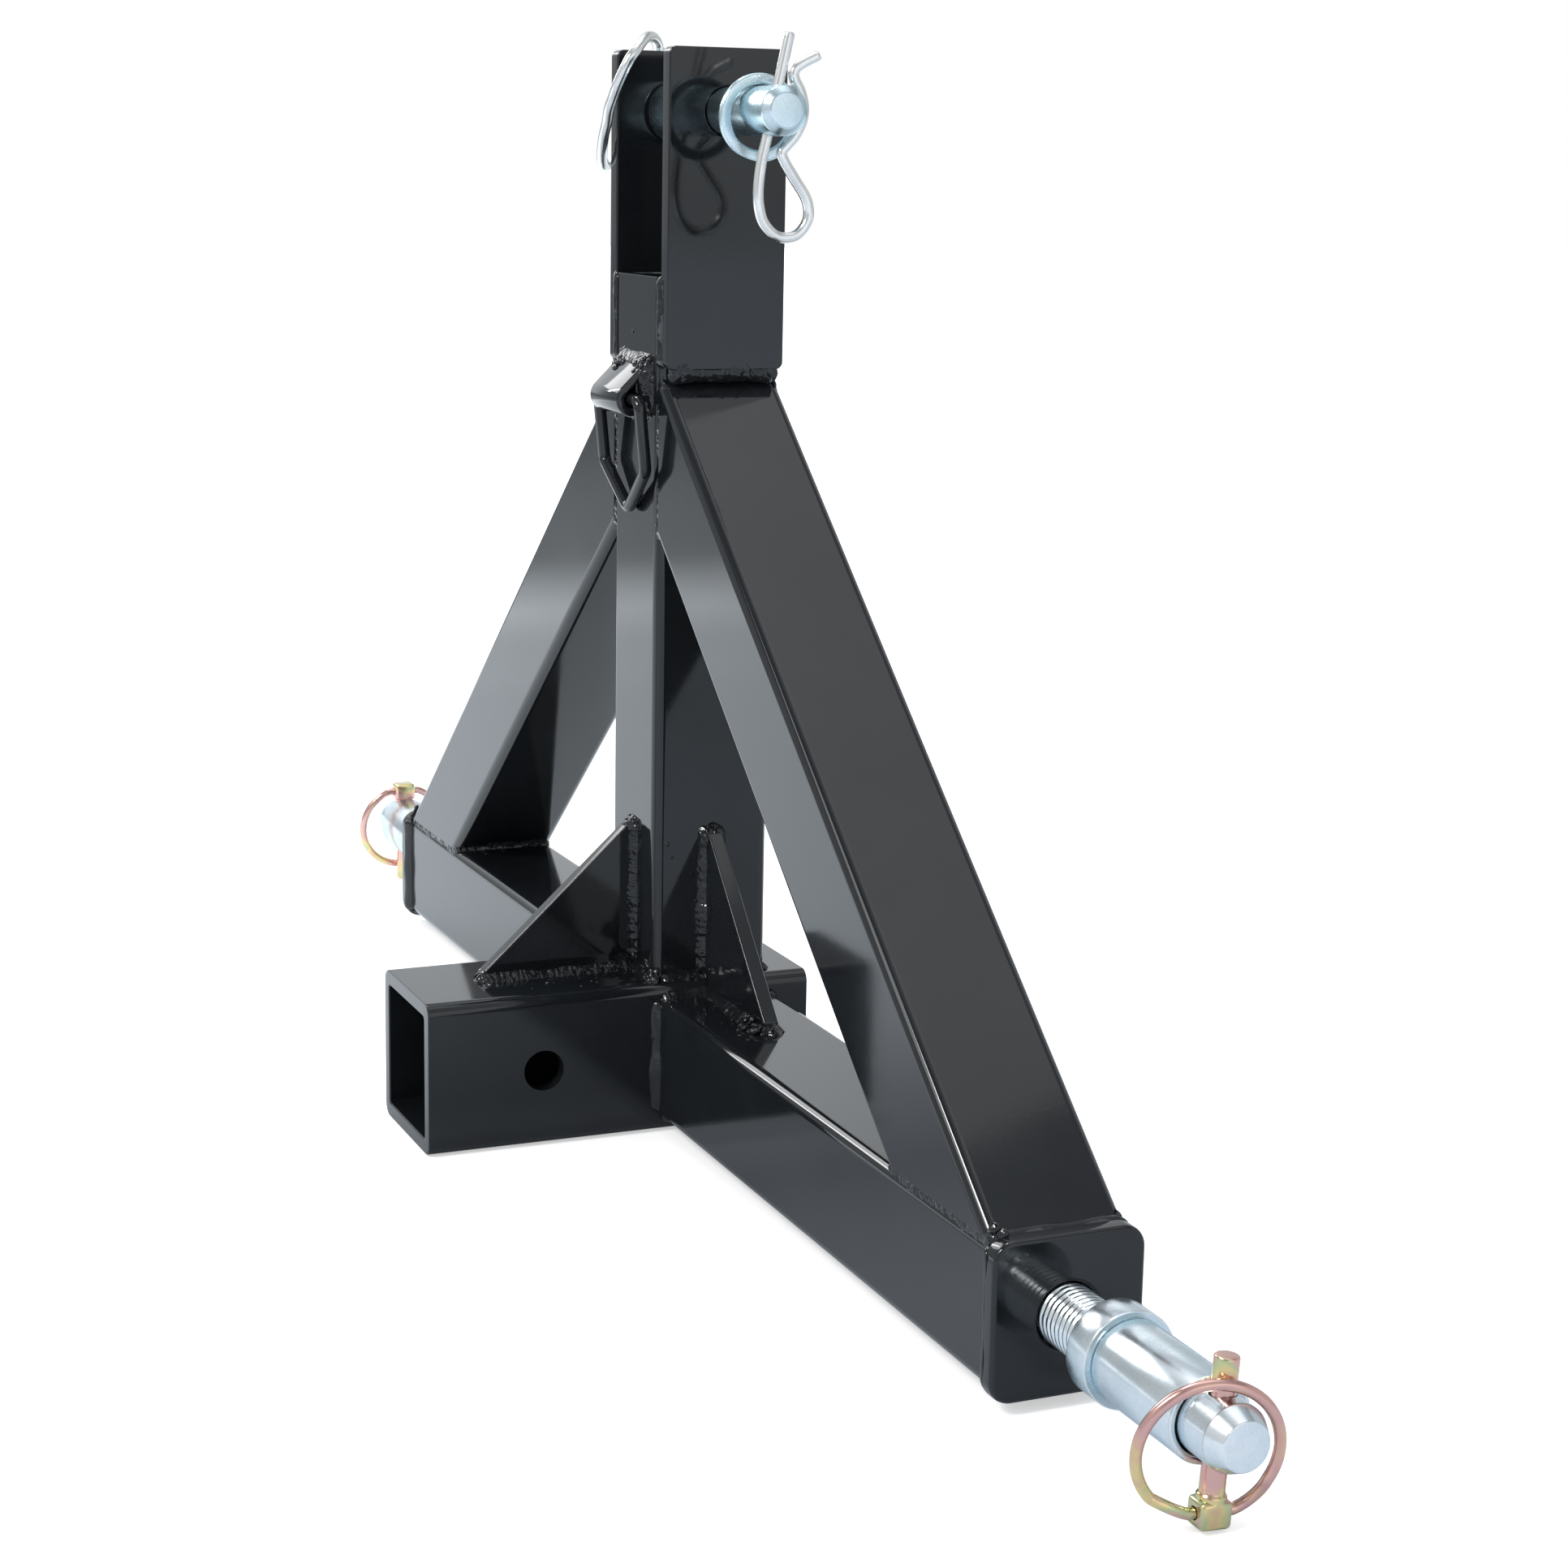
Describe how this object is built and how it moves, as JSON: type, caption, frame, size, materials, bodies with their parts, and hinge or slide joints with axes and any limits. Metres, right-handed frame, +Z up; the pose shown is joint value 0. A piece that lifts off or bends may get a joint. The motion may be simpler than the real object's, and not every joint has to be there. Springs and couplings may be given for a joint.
{
  "type": "three point hitch receiver adapter",
  "caption": "Triangular welded tube frame that carries a square receiver on a tractor's three point linkage, with pinned upper clevis and stub pins at both ends.",
  "frame": {"origin": "middle of the receiver tube's underside, straight below the mast's axis", "axes": "+X along the cross tube towards the right lower link pin, +Y towards the tractor, away from the receiver tube's open mouth, +Z up along the mast"},
  "size_m": [0.899, 0.166, 0.4484],
  "materials": {
    "gloss_black_paint": "gloss black powder coat",
    "zinc_plate": "bright blue-white zinc plate",
    "bright_wire": "bright plated spring wire",
    "yellow_zinc_plate": "iridescent yellow zinc plate"
  },
  "bodies": {
    "frame": {"receiver_tube": "gloss_black_paint", "cross_tube_left": "gloss_black_paint", "cross_tube_right": "gloss_black_paint", "end_plate_left": "gloss_black_paint", "end_plate_right": "gloss_black_paint", "pin_nut_left": "zinc_plate", "pin_nut_right": "zinc_plate", "mast_tube": "gloss_black_paint", "brace_left": "gloss_black_paint", "brace_right": "gloss_black_paint", "clevis_ear_left": "gloss_black_paint", "clevis_ear_right": "gloss_black_paint", "rear_gusset": "gloss_black_paint", "side_gusset_left": "gloss_black_paint", "side_gusset_right": "gloss_black_paint", "ring_strap": "gloss_black_paint", "lower_pin_left": "zinc_plate", "lower_pin_right": "zinc_plate"},
    "chain_ring": {"d_ring": "gloss_black_paint"},
    "bush_left": {"lower_bush_left": "zinc_plate"},
    "bush_right": {"lower_bush_right": "zinc_plate"},
    "lynch_left": {"lynch_pin_left": "yellow_zinc_plate"},
    "lynch_right": {"lynch_pin_right": "yellow_zinc_plate"},
    "snap_ring_left": {"lynch_ring_left": "yellow_zinc_plate"},
    "snap_ring_right": {"lynch_ring_right": "yellow_zinc_plate"},
    "upper_pin": {"top_pin": "zinc_plate"},
    "pull_handle": {"top_pin_handle": "bright_wire"},
    "upper_bush": {"top_bushing": "zinc_plate"},
    "washer": {"top_washer": "zinc_plate"},
    "clip": {"r_clip": "bright_wire"}
  },
  "joints": [
    {"name": "chain_ring_swing", "type": "hinge", "parent": "frame", "child": "chain_ring", "pos_m": [0, -0.033, 0.303], "axis": [-1, 0, 0], "range_deg": [0, 165]},
    {"name": "bush_left_spin", "type": "hinge", "parent": "frame", "child": "bush_left", "pos_m": [-0.4051, 0, 0.03175], "axis": [1, 0, 0], "continuous": true},
    {"name": "bush_right_spin", "type": "hinge", "parent": "frame", "child": "bush_right", "pos_m": [0.4051, 0, 0.03175], "axis": [1, 0, 0], "continuous": true},
    {"name": "lynch_left_pull", "type": "slide", "parent": "frame", "child": "lynch_left", "axis": [0, 0, 1], "range_m": [0, 0.011]},
    {"name": "lynch_right_push", "type": "slide", "parent": "frame", "child": "lynch_right", "axis": [0, 0.0698, 0.9976], "range_m": [0, 0.0087]},
    {"name": "snap_ring_left_swing", "type": "hinge", "parent": "lynch_left", "child": "snap_ring_left", "pos_m": [-0.434, 0, 0.04965], "axis": [0, 1, 0], "range_deg": [0, 150], "stiffness_Nm_per_rad": 0.02, "springref_deg": -11.46},
    {"name": "snap_ring_right_swing", "type": "hinge", "parent": "lynch_right", "child": "snap_ring_right", "pos_m": [0.434, -0.00186, 0.00511], "axis": [0, 0.9976, -0.0698], "range_deg": [0, 150], "stiffness_Nm_per_rad": 0.02, "springref_deg": -11.46},
    {"name": "upper_pin_play", "type": "slide", "parent": "frame", "child": "upper_pin", "axis": [1, 0, 0], "range_m": [-0.002, 0]},
    {"name": "pull_handle_swing", "type": "hinge", "parent": "upper_pin", "child": "pull_handle", "pos_m": [-0.04275, 0, 0.4163], "axis": [0, -0.7083, -0.7059], "range_deg": [0, 190]},
    {"name": "upper_bush_spin", "type": "hinge", "parent": "upper_pin", "child": "upper_bush", "pos_m": [0, 0, 0.4163], "axis": [1, 0, 0], "continuous": true},
    {"name": "washer_slide", "type": "slide", "parent": "upper_pin", "child": "washer", "axis": [1, 0, 0], "range_m": [-0.0271, 0.0064]},
    {"name": "clip_pull", "type": "slide", "parent": "upper_pin", "child": "clip", "axis": [0, -0.2164, -0.9763], "range_m": [0, 0.04], "deforming": ["r_clip"]}
  ]
}
